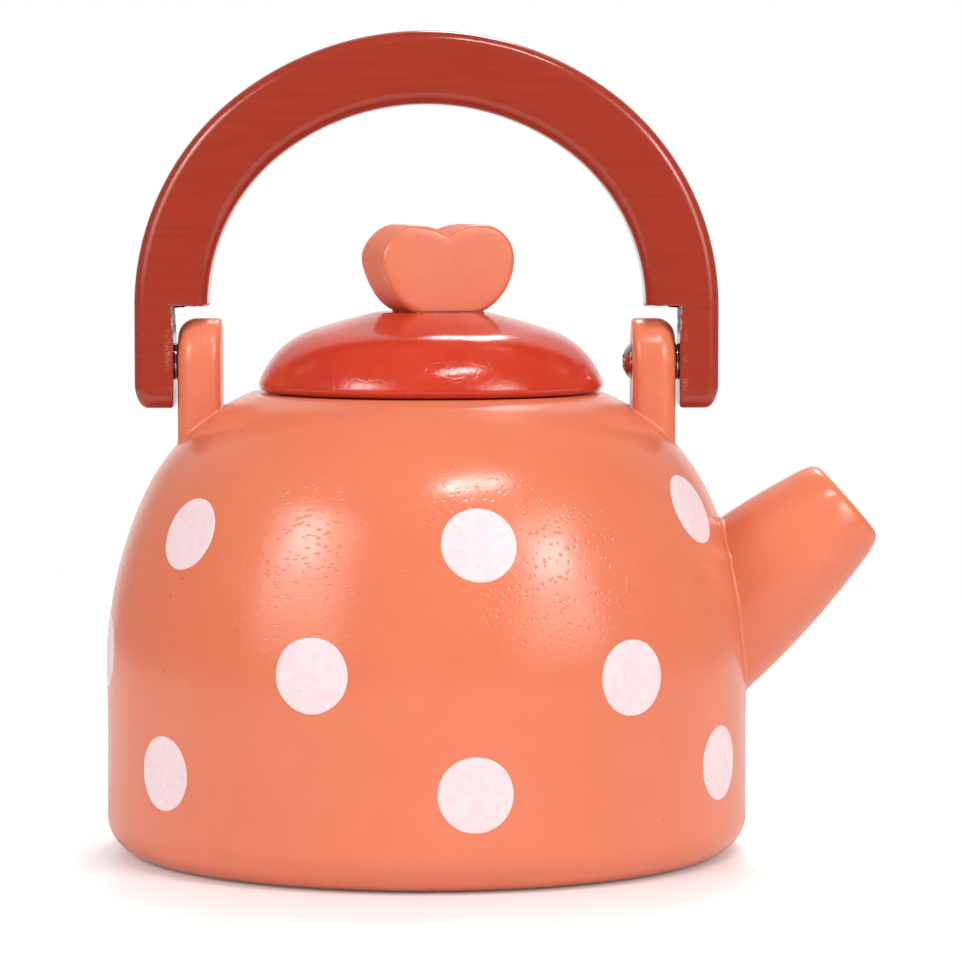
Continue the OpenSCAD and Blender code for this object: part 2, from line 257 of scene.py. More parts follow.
def rough(points, pitch):
    """Smooth random values from 0 to 1 that change over about one pitch: a lattice of hashed values,
    blended between the eight corners of each cell with t^2 (3 - 2t)."""
    p = np.asarray(points, float) / pitch
    cell = np.floor(p)
    t = p - cell
    t = t * t * (3 - 2 * t)
    total = 0
    for corner in np.ndindex(2, 2, 2):
        q = cell + corner
        value = np.sin(q @ np.array([127.1, 311.7, 74.7])) * 43758.5453
        weight = np.prod(np.where(corner, t, 1 - t), axis=-1)
        total = total + weight * (value - np.floor(value))
    return total


def edge_loss(depth, radius):
    """How far a rounded edge lies below the flat, at a depth in from it: r - sqrt(r^2 - (r - d)^2)."""
    short = np.clip(radius - depth, 0, radius)
    return radius - np.sqrt(radius**2 - short**2)


def make_piece(name, shells, body, nodes, finish, sharp=40, marks=None):
    """One object from shells of points in millimetres. Points that coincide are merged, which closes
    seams and poles, and the faces are turned outwards. Edges that turn by more than sharp degrees are
    shaded sharp. Marks are named values for each point."""
    points, faces, count = [], [], 0
    for grid, wrap_rows, wrap_columns in shells:
        rows, columns = grid.shape[:2]
        faces.append(grid_faces(rows, columns, wrap_rows, wrap_columns) + count)
        points.append(grid.reshape(-1, 3) * MM)
        count += rows * columns
    mesh = bpy.data.meshes.new(name)
    mesh.from_pydata(np.concatenate(points).tolist(), [], np.concatenate(faces).tolist())
    for mark, values in (marks or {}).items():
        layer = mesh.attributes.new(mark, "FLOAT", "POINT")
        layer.data.foreach_set("value", np.concatenate([v.ravel() for v in values]).astype(np.float32))
    build = bmesh.new()
    build.from_mesh(mesh)
    bmesh.ops.remove_doubles(build, verts=build.verts, dist=1e-7)
    bmesh.ops.dissolve_degenerate(build, edges=build.edges, dist=1e-8)
    bmesh.ops.recalc_face_normals(build, faces=build.faces)
    build.to_mesh(mesh)
    build.free()
    mesh.polygons.foreach_set("use_smooth", np.ones(len(mesh.polygons), bool))
    mesh.set_sharp_from_angle(angle=math.radians(sharp))
    mesh.materials.append(finish)
    piece = bpy.data.objects.new(name, mesh)
    bpy.context.scene.collection.objects.link(piece)
    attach(piece, body)
    if nodes:
        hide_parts(*nodes)
    return piece


# Body

SIDE, SHOULDER = arc_pair((BODY_R, WALL_H), (SEAT_R, BODY_H), SHOULDER_LEANS)


def wall_distance(p):
    """Signed distance of points from the body's outside: from the plain wall below WALL_H, then from
    the side arc, and past the lean where the arcs meet from the shoulder arc."""
    r, z = np.hypot(p[..., 0], p[..., 1]), p[..., 2]
    (side_c, side_r), (shoulder_c, shoulder_r) = SIDE, SHOULDER
    lean = np.degrees(np.arctan2(z - side_c[1], r - side_c[0]))
    side = np.hypot(r - side_c[0], z - side_c[1]) - side_r
    shoulder = np.hypot(r - shoulder_c[0], z - shoulder_c[1]) - shoulder_r
    return np.where(lean <= 0, r - BODY_R, np.where(lean < SHOULDER_LEANS[1], side, shoulder))


def wall_place(z, azimuth):
    """Point on the wall at a height and at an azimuth in degrees from the front towards +X, with the
    outward normal, the level tangent and the upward tangent there."""
    centre, radius = SIDE
    lean = np.arcsin(max(z - WALL_H, 0) / radius)
    a = np.radians(azimuth)
    out = np.array([np.sin(a), -np.cos(a), 0])
    up = np.array([0, 0, 1.0])
    point = (centre[0] + radius * np.cos(lean)) * out + z * up
    normal = np.cos(lean) * out + np.sin(lean) * up
    level = np.array([np.cos(a), np.sin(a), 0])
    return point, normal, level, np.cross(normal, level)


def body_shell():
    """The body's half profile, turned: underside, base edge, wall, side and shoulder arcs, seat, and
    down the bore to its floor. The outside is sunk by up to SANDING_DEPTH, as hand sanding leaves it. The
    mark is 1 where the wood is bare, below the bore's painted lip of a few rows."""
    (side_c, side_r), (shoulder_c, shoulder_r) = SIDE, SHOULDER
    low, middle, high = SHOULDER_LEANS
    outside = chain(
        straight((0, 0), (BODY_R - BASE_EDGE_R, 0), 12),
        arc((BODY_R - BASE_EDGE_R, BASE_EDGE_R), BASE_EDGE_R, -90, 0, 18),
        straight((BODY_R, BASE_EDGE_R), (BODY_R, WALL_H), 28),
        arc(side_c, side_r, low, middle, 34),
        arc(shoulder_c, shoulder_r, middle, high, 32))
    inside = chain(
        straight((SEAT_R, BODY_H), (BORE_R + BORE_EDGE_R, BODY_H), 5)[1:],
        arc((BORE_R + BORE_EDGE_R, BODY_H - BORE_EDGE_R), BORE_EDGE_R, 90, 180, 6),
        straight((BORE_R, BODY_H - BORE_EDGE_R), (BORE_R, BORE_FLOOR), 30),
        straight((BORE_R, BORE_FLOOR), (0, BORE_FLOOR), 8))
    grid = lathe(np.concatenate([outside, inside]), 240)
    depth = SANDING_DEPTH * rough(grid, SANDING_PITCH)
    depth[len(outside):] = 0
    depth *= np.clip(grid[..., 2] / BASE_EDGE_R, 0, 1)
    inward = np.stack([grid[..., 0], grid[..., 1], 0 * depth], axis=-1)
    inward /= np.maximum(np.linalg.norm(inward, axis=-1, keepdims=True), 1e-9)
    bare = np.zeros(grid.shape[:2])
    painted_lip = 8
    bare[len(outside) + painted_lip:] = 1
    return grid - depth[..., None] * inward, bare


def dot_shell(z, azimuth, number):
    """A film of paint on the wall. Rings of reach rho and direction a lie on the tangent plane and are
    dropped along the normal on to the wall. The film is DOT_FILM thick with a raised rim, and its edge
    wanders in a few long and many short waves, as brushed paint does; its underside is sunk in the wall."""
    point, normal, level, up = wall_place(z, azimuth)
    rho = np.r_[0, np.linspace(0.2, 0.88, 6), 0.92, 0.95, 0.975, 0.99, 1]
    top = DOT_FILM + DOT_RIM * np.exp(-((rho - DOT_RIM_AT) / DOT_RIM_SPREAD) ** 2)
    top[-2:] = DOT_FILM * np.array([0.75, 0.1])
    rho = np.r_[rho, rho[::-1]]
    height = np.r_[top, np.full(len(top), DOT_ROOT)][:, None]
    a = np.linspace(0, TURN, 96, endpoint=False)
    ring = np.stack([np.cos(a), np.sin(a), 0 * a], axis=-1)
    edge = DOT_R
    for waves, depth in DOT_WANDER:
        edge = edge - depth * rough(waves * ring + DOT_NOISE_STEP * number, 1)
    reach = rho[:, None] * edge
    grid = point + (reach * np.cos(a))[..., None] * level + (reach * np.sin(a))[..., None] * up
    for _ in range(8):
        grid = grid - wall_distance(grid)[..., None] * normal
    return turned(grid + height[..., None] * normal)


def dot_shells():
    """Every dot but those that the spout's root covers. The one just in front of the spout is moved
    clear of it, and those at the front sit a little off the pattern, as stamped by hand."""
    pitch = 360 / DOTS_PER_ROW
    shells = []
    for number, (row, i) in enumerate(np.ndindex(len(DOT_ROWS), DOTS_PER_ROW)):
        z, first, lift = DOT_ROWS[row]
        azimuth = first + i * pitch
        rise, turn = DOT_SHIFTS.get((row, i), (0, 0))
        if np.linalg.norm(wall_place(z, azimuth)[0] - SPOUT_FOOT) < SPOUT_ROOT_R + DOT_R:
            continue
        if SPOUT_AZIMUTH - pitch / 2 < azimuth < SPOUT_AZIMUTH:
            z, azimuth = z + lift, azimuth - DOT_BESIDE_TURN
        shells.append(dot_shell(z + rise, azimuth + turn, number))
    return shells


# Ears

def other_side(grid):
    """Turns a right-hand shell half round the upright axis."""
    return grid * np.array([-1, -1, 1])


def ear_shell(sink):
    """An ear as rings about its pivot. In direction a the outline's reach is the half width over the
    top, half width / |cos a| down the straight sides and depth / |sin a| at the root. The section runs
    from the hole over the inner face, round its edge, across the rim, round the outer edge and back."""
    corner = np.arctan2(EAR_DEPTH, EAR_HALF_W)
    a = chain(*(straight([p], [q], n) for p, q, n in (
        (0, np.pi, 60), (np.pi, np.pi + corner, 24), (np.pi + corner, TURN - corner, 12),
        (TURN - corner, TURN, 24))))[:-1, 0]
    below = np.minimum(np.sin(a), -1e-6)
    reach = np.where(np.sin(a) > 0, EAR_HALF_W,
                     np.minimum(EAR_HALF_W / np.maximum(np.abs(np.cos(a)), 1e-6), EAR_DEPTH / -below))
    inner = EAR_INNER_ROUND - (EAR_INNER_ROUND - EAR_TOP_ROUND) * np.maximum(np.sin(a), 0) ** 2
    rows = [(EAR_HOLE_R, EAR_IN)]
    if sink:
        rows = [(EAR_HOLE_R, EAR_IN + sink), (SINK_R, EAR_IN + sink), (SINK_R, EAR_IN)]
    for t in np.radians(np.linspace(0, 90, 9)):
        short = 1 - inner * (1 - np.sin(t)) / EAR_HALF_W
        rows.append((reach * short, EAR_IN + inner * (1 - np.cos(t))))
    for t in np.radians(np.linspace(0, 90, 12)):
        short = 1 - EAR_ROUND * (1 - np.cos(t)) / EAR_HALF_W
        rows.append((reach * short, EAR_OUT - EAR_ROUND * (1 - np.sin(t))))
    rows.append((EAR_HOLE_R, EAR_OUT))
    radius = np.stack([r + 0 * a for r, _ in rows])
    x = np.stack([x + 0 * a for _, x in rows])
    return np.stack([x, radius * np.cos(a), PIVOT_Z + radius * np.sin(a)], axis=-1)


def filled(values, count=6):
    """A closed run with more points between each and the one that follows it: (1-t) now + t next."""
    t = np.linspace(0, 1, count, endpoint=False)[None, :, None]
    following = np.roll(values, -1, axis=0)
    return ((1 - t) * values[:, None] + t * following[:, None]).reshape(-1, values.shape[1])


def ear_plan(count=14):
    """Plan outline of an ear and its outward normals: a rectangle with rounded corners."""
    points, normals = [], []
    for turn, radius, x in ((180, EAR_INNER_ROUND, EAR_IN), (270, EAR_ROUND, EAR_OUT),
                            (0, EAR_ROUND, EAR_OUT), (90, EAR_INNER_ROUND, EAR_IN)):
        n = arc((0, 0), 1, turn, turn + 90, count)
        side = np.sign(unit(turn + 45))
        centre = np.array([x, 0]) + side * np.array([-radius, EAR_HALF_W - radius])
        points.append(centre + radius * n)
        normals.append(n)
    normals = filled(np.concatenate(normals))
    return filled(np.concatenate(points)), normals / np.linalg.norm(normals, axis=1, keepdims=True)


def on_wall(points):
    """Points moved on to the body's outside along the wall's slope, by a few steps down the distance."""
    step = 0.01
    for _ in range(6):
        distance = wall_distance(points)
        slope = np.stack([wall_distance(points + step * e) - distance for e in np.eye(3)], axis=-1) / step
        points = points - distance[..., None] * slope
    return points


def bead_shell(up, joint, out, inside):
    """A fillet of glue and paint along a joint. Its face is the curve (1-t)^2 A + 2t(1-t) J + t^2 B from
    A up one piece, drawn towards the joint J, to B out on the other; its back is buried inside."""
    t = np.linspace(0, 1, 9)[:, None, None]
    face = (1 - t) ** 2 * up + 2 * t * (1 - t) * joint + t**2 * out
    return tube(np.concatenate([face, inside[None]]))


def ear_bead():
    """The bead round an ear's foot, where its plan outline stands on the shoulder. Its size wanders."""
    plan, normals = ear_plan()
    centre, radius = SHOULDER
    r = np.linalg.norm(plan, axis=1)
    z = centre[1] + np.sqrt(radius**2 - (r - centre[0]) ** 2)
    joint = np.column_stack([plan, z])
    outward = np.column_stack([normals, 0 * z])
    size = (EAR_BEAD * (0.65 + 0.7 * rough(joint, 2.6)))[:, None]
    up = joint + size * np.array([0, 0, 1.0]) - BEAD_TUCK * outward
    out = on_wall(joint + size * outward) - BEAD_TUCK * outward
    inward, down = EAR_BEAD_BACK
    return bead_shell(up, joint, out, joint - inward * outward - np.array([0, 0, down]))


# Spout

SPOUT_AXIS = np.array([np.cos(SPOUT_TILT), 0, np.sin(SPOUT_TILT)])
SPOUT_SIDE = np.array([0, 1.0, 0])
SPOUT_UP = np.cross(SPOUT_AXIS, SPOUT_SIDE)
SPOUT_FOOT = wall_place(SPOUT_Z, SPOUT_AZIMUTH)[0]
SPOUT_FLANK_R = arc_radius(SPOUT_OUT + SPOUT_SINK, SPOUT_ROOT_R - SPOUT_TIP_R)
SPOUT_FLANK_C = np.array([SPOUT_ROOT_R - SPOUT_FLANK_R, -SPOUT_SINK])


def on_spout(radius, axial, a):
    """Points at a radius, a distance along the spout's axis and an angle about it."""
    ring = np.cos(a)[..., None] * SPOUT_SIDE + np.sin(a)[..., None] * SPOUT_UP
    return SPOUT_FOOT + np.asarray(axial)[..., None] * SPOUT_AXIS + np.asarray(radius)[..., None] * ring


def flank_radius(axial):
    """Radius of the spout's flank, an arc, at a distance along its axis."""
    return SPOUT_FLANK_C[0] + np.sqrt(SPOUT_FLANK_R**2 - (axial - SPOUT_FLANK_C[1]) ** 2)


def spout_shell():
    """The spout's profile turned about its own axis: root inside the wall, flank arc, an easing arc that
    turns in by SPOUT_EASE degrees, rim and flat tip. The easing starts at the lean from which the three
    tangent arcs end at the tip: flank_part sin(lean) + ease_part sin(lean + ease) = reach."""
    ease = math.radians(SPOUT_EASE)
    flank_part, ease_part = SPOUT_FLANK_R - SPOUT_EASE_R, SPOUT_EASE_R - SPOUT_RIM_R
    level, rise = flank_part + ease_part * math.cos(ease), ease_part * math.sin(ease)
    reach = SPOUT_OUT - SPOUT_RIM_R - SPOUT_FLANK_C[1]
    lean = math.degrees(math.asin(reach / math.hypot(level, rise)) - math.atan2(rise, level))
    ease_c = SPOUT_FLANK_C + flank_part * unit(lean)
    rim_c = ease_c + ease_part * unit(lean + SPOUT_EASE)
    profile = chain(
        straight((0, -SPOUT_SINK), (SPOUT_ROOT_R, -SPOUT_SINK), 3),
        arc(SPOUT_FLANK_C, SPOUT_FLANK_R, 0, lean, 40),
        arc(ease_c, SPOUT_EASE_R, lean, lean + SPOUT_EASE, 12),
        arc(rim_c, SPOUT_RIM_R, lean + SPOUT_EASE, 90, 12),
        straight((rim_c[0], SPOUT_OUT), (0, SPOUT_OUT), 6))
    a = np.linspace(0, TURN, 128, endpoint=False)[None]
    return turned(on_spout(profile[:, :1] + 0 * a, profile[:, 1:] + 0 * a, a + 0 * profile[:, :1]))


def spout_bead():
    """The bead round the spout's foot, of a size that wanders. The joint is where the flank meets the
    wall, found by halving the interval along the axis at each angle."""
    a = np.linspace(0, TURN, 240, endpoint=False)
    low, high = np.full(a.shape, -SPOUT_SINK, float), np.full(a.shape, SPOUT_OUT * 0.8)
    for _ in range(40):
        middle = (low + high) / 2
        inside = wall_distance(on_spout(flank_radius(middle), middle, a)) < 0
        low, high = np.where(inside, middle, low), np.where(inside, high, middle)
    joint = on_spout(flank_radius(low), low, a)
    size = SPOUT_BEAD * (0.6 + 0.8 * rough(joint, 3.1))
    up = on_spout(flank_radius(low + size) - BEAD_TUCK, low + size, a)
    out = on_wall(on_spout(flank_radius(low) + size, low, a))
    out = out - BEAD_TUCK * (out - joint)
    back = on_spout(flank_radius(low) - SPOUT_BEAD_BACK, low - SPOUT_BEAD_BACK, a)
    return bead_shell(up, joint, out, back)


# Handle

# The side arc and the top arc meet on the slope of a 3-4-5 triangle
MEET = math.degrees(math.atan2(4, 3))
BOW_SIDE, BOW_TOP = arc_pair((LEG_OUT, NOTCH_Z), (0, HANDLE_TOP), (0, MEET, 90))
SIDE_RUN = BOW_SIDE[1] * math.radians(MEET)
BOW_RUN = SIDE_RUN + BOW_TOP[1] * math.radians(90 - MEET)


def bow_point(run, inset):
    """Point on the bow, a distance along its outer curve from the notch, set in from that curve."""
    low = np.minimum(run, SIDE_RUN) / BOW_SIDE[1]
    high = math.radians(MEET) + np.maximum(run - SIDE_RUN, 0) / BOW_TOP[1]
    on_side = (run <= SIDE_RUN)[:, None]
    a = np.where(on_side[:, 0], low, high)
    centre = np.where(on_side, BOW_SIDE[0], BOW_TOP[0])
    radius = np.where(on_side[:, 0], BOW_SIDE[1], BOW_TOP[1]) - inset
    return centre + radius[:, None] * np.column_stack([np.cos(a), np.sin(a)])


def bow_depth(x, z):
    """Depth of points in from the bow's outer curve, by the arc that they lie under."""
    side = BOW_SIDE[1] - np.hypot(x - BOW_SIDE[0][0], z - BOW_SIDE[0][1])
    top = BOW_TOP[1] - np.hypot(x - BOW_TOP[0][0], z - BOW_TOP[0][1])
    lean = np.degrees(np.arctan2(z - BOW_SIDE[0][1], x - BOW_SIDE[0][0]))
    return np.where(lean < MEET, side, top)


def handle_outlines():
    """Matching points on the outer and the inner edge of the right half, from the leg's end to the top.
    The outer edge has an elliptical corner at its end. The inner edge runs up the leg, in along the
    notch and round the bow; the outer points beside the notch are spread so that no face collapses."""
    wide, tall = LEG_CORNER
    rise = np.r_[HANDLE_ROUND * (1 - np.cos(np.linspace(0, np.pi / 2, 10))), 3, 3.5, tall, 5.5, 7]
    z = LEG_END + rise
    outer_x = LEG_OUT - wide * (1 - np.sqrt(1 - np.clip((tall - rise) / tall, 0, 1) ** 2))
    inner_x = LEG_IN + LEG_TOE * (1 - np.sqrt(1 - np.clip((LEG_TOE - rise) / LEG_TOE, 0, 1) ** 2))
    foot_outer, foot_inner = np.column_stack([outer_x, z]), np.column_stack([inner_x, z])
    lag, lead = 2.0, 3.5
    leg_outer = straight((LEG_OUT, z[-1]), (LEG_OUT, NOTCH_Z - lag), 18)
    leg_inner = straight((LEG_IN, z[-1]), (LEG_IN, NOTCH_Z), 18)
    below = straight((LEG_OUT, NOTCH_Z - lag), (LEG_OUT, NOTCH_Z), 10)
    beside = bow_point(np.linspace(0, lead, 14), 0)
    notch_outer = chain(below, beside)
    notch_inner = straight((LEG_IN, NOTCH_Z), (LEG_OUT - BAND_W, NOTCH_Z), len(notch_outer))
    share = np.linspace(0, 1, 90)
    bow_outer = bow_point(BOW_RUN * share + lead * (1 - share) ** 2, 0)
    bow_inner = bow_point(BOW_RUN * share, BAND_W)
    outer = np.concatenate([foot_outer, leg_outer[1:], notch_outer[1:], bow_outer[1:]])
    inner = np.concatenate([foot_inner, leg_inner[1:], notch_inner[1:], bow_inner[1:]])
    return outer, inner


def plank_half(x, z):
    """Half thickness of the plank at a place on its face: the flat, less the rounding along the outer
    curve, the bow's inner curve and the legs' ends, and a slight one along the sawn notch."""
    wide, tall = LEG_CORNER
    u, v = (x - LEG_OUT + wide) / wide, (LEG_END + tall - z) / tall
    q = np.hypot(u, v)
    corner = (1 - q) * q / np.maximum(np.hypot(u / wide, v / tall), 1e-6)
    on_leg = z < NOTCH_Z
    in_corner = (u > 0) & (v > 0)
    outer = np.where(in_corner, corner, np.where(on_leg, LEG_OUT - x, bow_depth(x, z)))
    inner = np.where(on_leg, np.inf, BAND_W - bow_depth(x, z))
    loss = np.maximum(edge_loss(outer, HANDLE_ROUND), edge_loss(inner, HANDLE_ROUND))
    loss = np.maximum(loss, edge_loss(z - LEG_END, HANDLE_ROUND))
    sawn = np.where(on_leg, x - LEG_IN, np.where(x < LEG_IN, z - NOTCH_Z, np.inf))
    return PLANK_HALF_T - np.maximum(loss, edge_loss(sawn, CUT_EDGE_R)), sawn


def mirror_y(points):
    """Points reflected from the front of a plank to its back."""
    return points * np.array([1, -1, 1])


def handle_shells():
    """The plank's front face is a grid of lines from the outer to the inner edge, set forwards by the
    half thickness there. Its mirror is the back face, strips across the edges join them, and a strip at
    each leg's end closes the shell. The sawn notch faces are torn by up to TORN_DEPTH. The marks say where
    they are torn, and where pale specks a little way in from the legs' sawn edges paint a broken
    highlight, with some wear."""
    outer, inner = handle_outlines()
    mirror = np.array([-1, 1])
    outer = np.concatenate([outer, outer[-2::-1] * mirror])
    inner = np.concatenate([inner, inner[-2::-1] * mirror])
    length = np.linalg.norm(inner - outer, axis=1)
    edge = HANDLE_ROUND * (1 - np.cos(np.linspace(0, np.pi / 2, 9)))
    middle = np.linspace(0, 1, 6)[1:-1][:, None]
    share = np.concatenate([
        edge[:, None] / length,
        (1 - middle) * HANDLE_ROUND / length + middle * (1 - HANDLE_ROUND / length),
        1 - edge[::-1, None] / length])
    face = (1 - share[..., None]) * outer + share[..., None] * inner
    thick, sawn = plank_half(np.abs(face[..., 0]), face[..., 1])
    across = np.linspace(-1, 1, 14)[1:-1, None]
    many = len(across)
    rows = [(face, -thick, sawn),
            (face[-1:].repeat(many, axis=0), thick[-1] * across, sawn[-1:].repeat(many, axis=0)),
            (face[::-1], thick[::-1], sawn[::-1]),
            (face[:1].repeat(many, axis=0), thick[0] * -across, sawn[:1].repeat(many, axis=0))]
    plane, y, sawn = (np.concatenate(parts) for parts in zip(*rows))
    grid = np.stack([plane[..., 0], y, plane[..., 1]], axis=-1)
    t = np.linspace(0, 1, 14)[None, :, None]
    fronts = [grid[:len(face), column][:, None] for column in (0, -1)]
    ends = [(1 - t) * front + t * mirror_y(front) for front in fronts]
    z = grid[..., 2]
    cut = np.clip(1 - sawn / CUT_REACH, 0, 1) * (z > LEG_END + 3)
    torn = cut * np.clip(1.3 - (NOTCH_Z - z) / TORN_FADE, 0, 1)
    along_fibres = grid * np.array([1, 0.25, 1])
    jag = TORN_DEPTH * torn * (0.35 * rough(grid, 1.7) + 0.65 * rough(along_fibres, 0.55))
    on_leg = z < NOTCH_Z - 1e-6
    grid[..., 0] += np.where(on_leg, np.sign(grid[..., 0]) * jag, 0)
    grid[..., 2] += np.where(on_leg, 0, jag)
    # Pale specks in from the sawn edges: a painted highlight, with some wear
    glint_and_wear = np.exp(-((sawn - GLINT_WEAR_AT) / GLINT_WEAR_SPREAD) ** 2)
    glint_and_wear *= np.clip((NOTCH_Z - 3 - z) / GLINT_WEAR_FADE, 0, 1) * np.clip((z - LEG_END - 2) / GLINT_WEAR_FADE, 0, 1)
    shells = [(grid, True, False)] + [(end, False, False) for end in ends]
    blank = [np.zeros(end.shape[:2]) for end in ends]
    return shells, {"torn": [torn] + blank, "glint_and_wear": [glint_and_wear] + blank}


# Lid and knob

def lid_shell():
    """The lid's half profile, turned: plug, flat underside, rim, and the two arcs of the crown. The mark is
    1 on the bare plug and underside, up to a painted edge of a few rows."""
    rim_c = (LID_R - LID_EDGE_R, PLUG_Z + PLUG_H + LID_EDGE_R)
    crown, top = arc_pair(rim_c + LID_EDGE_R * unit(LID_LEANS[0]), (LID_FLAT_R, LID_TOP), LID_LEANS)
    underside = chain(
        straight((0, PLUG_Z), (PLUG_R - PLUG_EDGE_R, PLUG_Z), 8),
        arc((PLUG_R - PLUG_EDGE_R, PLUG_Z + PLUG_EDGE_R), PLUG_EDGE_R, -90, 0, 7),
        straight((PLUG_R, PLUG_Z + PLUG_EDGE_R), (PLUG_R, PLUG_Z + PLUG_H), 5),
        straight((PLUG_R, PLUG_Z + PLUG_H), (rim_c[0], PLUG_Z + PLUG_H), 5))
    topside = chain(
        arc(rim_c, LID_EDGE_R, -90, LID_LEANS[0], 16),
        arc(*crown, LID_LEANS[0], LID_LEANS[1], 30),
        arc(*top, LID_LEANS[1], LID_LEANS[2], 24),
        straight((LID_FLAT_R, LID_TOP), (0, LID_TOP), 8))
    grid = lathe(chain(underside, topside), 220) + np.array([LID_X, 0, 0])
    bare = np.zeros(grid.shape[:2])
    painted_edge = 3
    bare[:len(underside) - painted_edge] = 1
    return turned(grid), bare


LOBE_C = np.array([KNOB_HALF_W - LOBE_R, KNOB_H - LOBE_R])
SADDLE_R = arc_radius(LOBE_C[0], CLEFT)
SADDLE_C = np.array([LOBE_C[0], KNOB_H - SADDLE_R])
FLANK_R = arc_radius(LOBE_C[1], KNOB_HALF_W - KNOB_BASE)
FLANK_C = np.array([KNOB_HALF_W - FLANK_R, LOBE_C[1]])


def heart_outline():
    """The heart from the middle of its base, round its right half and back down its left: base line,
    flank arc, outer quarter of the lobe, and the arc that falls to the cleft."""
    foot = np.degrees(np.arctan2(-FLANK_C[1], KNOB_BASE - FLANK_C[0]))
    cleft = np.degrees(np.arctan2(np.sqrt(SADDLE_R**2 - SADDLE_C[0] ** 2), -SADDLE_C[0]))
    right = chain(
        straight((0, 0), (KNOB_BASE, 0), 12),
        arc(FLANK_C, FLANK_R, foot, 0, 30),
        arc(LOBE_C, LOBE_R, 0, 90, 26),
        arc(SADDLE_C, SADDLE_R, 90, cleft, 22))
    return np.concatenate([right, right[-2:0:-1] * np.array([-1, 1])])


def heart_depth(x, z):
    """Depth of points in from the heart's curved edge, by the arcs that bound them."""
    x = np.abs(x)
    lobe = LOBE_R - np.hypot(x - LOBE_C[0], z - LOBE_C[1])
    saddle = SADDLE_R - np.hypot(x - SADDLE_C[0], z - SADDLE_C[1])
    flank = FLANK_R - np.hypot(x - FLANK_C[0], z - FLANK_C[1])
    return np.where((x > LOBE_C[0]) & (z > LOBE_C[1]), lobe, np.minimum(saddle, flank))


def on_lid(points):
    """Heart points turned with the knob and set on the lid: x across, y through, z up."""
    c, s = np.cos(KNOB_TURN), np.sin(KNOB_TURN)
    x, y, z = points[..., 0], points[..., 1], points[..., 2]
    return np.stack([KNOB_X + c * x - s * y, s * x + c * y, KNOB_Z + z], axis=-1)


def knob_shell():
    """Rings from the middle of the front face out to the heart's edge, through the thickness, and back
    in over the rear face. Each ring shrinks the outline towards the heart's middle, and each face is set
    back by its rounded edge. The left flank is sanded straighter, most at half its height, and the left
    shoulder is sanded in, most at 45 degrees round its lobe: by shares (4t(1-t))^2 and sin(2a)^2."""
    outline = heart_outline()
    middle = np.array([0, LOBE_C[1] * 0.7])
    reach = np.linalg.norm(outline - middle, axis=1)
    inset = np.r_[KNOB_EDGE_R * (1 - np.cos(np.linspace(0, np.pi / 2, 12))), 2.0, 2.7]
    share = np.concatenate([1 - inset[:, None] / reach, np.repeat([[0.5], [0.25], [0]], len(reach), axis=1)])
    face = middle + share[..., None] * (outline - middle)
    edge = edge_loss(np.maximum(heart_depth(face[..., 0], face[..., 1]), 0), KNOB_EDGE_R)
    half = KNOB_HALF_T - np.maximum(edge, edge_loss(face[..., 1], KNOB_FOOT_R))
    front = np.stack([face[..., 0], -half, face[..., 1]], axis=-1)[::-1]
    through = np.linspace(-1, 1, 10)[1:-1, None]
    rim_x, rim_z = face[0, :, 0], face[0, :, 1]
    waist = np.stack([rim_x + 0 * through, half[0] * through, rim_z + 0 * through], axis=-1)
    grid = np.concatenate([front, waist, mirror_y(front)[::-1]])
    climb = np.clip(grid[..., 2] / LOBE_C[1], 0, 1)
    grid[..., 0] *= np.where(grid[..., 0] < 0, 1 - 16 * SANDED_FLANK * (climb * (1 - climb)) ** 2, 1)
    out, up = np.maximum(-grid[..., 0] - LOBE_C[0], 0), np.maximum(grid[..., 2] - LOBE_C[1], 0)
    shave = SANDED_SHOULDER * (2 * out * up / np.maximum(out**2 + up**2, 1e-9)) ** 2
    grid[..., 0] += shave * out
    grid[..., 2] -= shave * up
    sawn = np.zeros(grid.shape[:2])
    sawn[len(front):-len(front)] = 1
    return turned(on_lid(grid)), sawn


def knob_bead():
    """A ragged line of lid paint squeezed out round the knob's foot: an oval section, set outwards and of a
    size that wanders, carried round a rectangle just inside the foot."""
    foot = np.array([KNOB_BASE, KNOB_HALF_T]) - KNOB_BEAD_TUCK
    corners = ((-1, -1), (1, -1), (1, 1), (-1, 1), (-1, -1))
    runs = [straight(p * foot, q * foot, n) for p, q, n in zip(corners, corners[1:], (60, 50, 60, 50))]
    path = chain(*runs)[:-1]
    outward = np.sign(path) * (np.abs(path) > foot - KNOB_BEAD_TUCK)
    outward = outward / np.maximum(np.linalg.norm(outward, axis=1, keepdims=True), 1e-9)
    size = KNOB_BEAD * (0.35 + 1.1 * rough(np.column_stack([path, 0 * path[:, 0]]), 0.9))
    a = np.linspace(0, TURN, 10, endpoint=False)[:, None]
    spread = path + (size * (0.35 + 0.65 * np.cos(a)))[..., None] * outward
    height = size * 0.8 * np.sin(a) - 0.02
    return tube(on_lid(np.concatenate([spread, height[..., None]], axis=-1)))


# Screws and washers

def on_pivot(radius, along, a):
    """Points about the pivot axis: a distance along +X, a radius and an angle."""
    return np.stack([along + 0 * a, radius * np.cos(a), PIVOT_Z + radius * np.sin(a)], axis=-1)


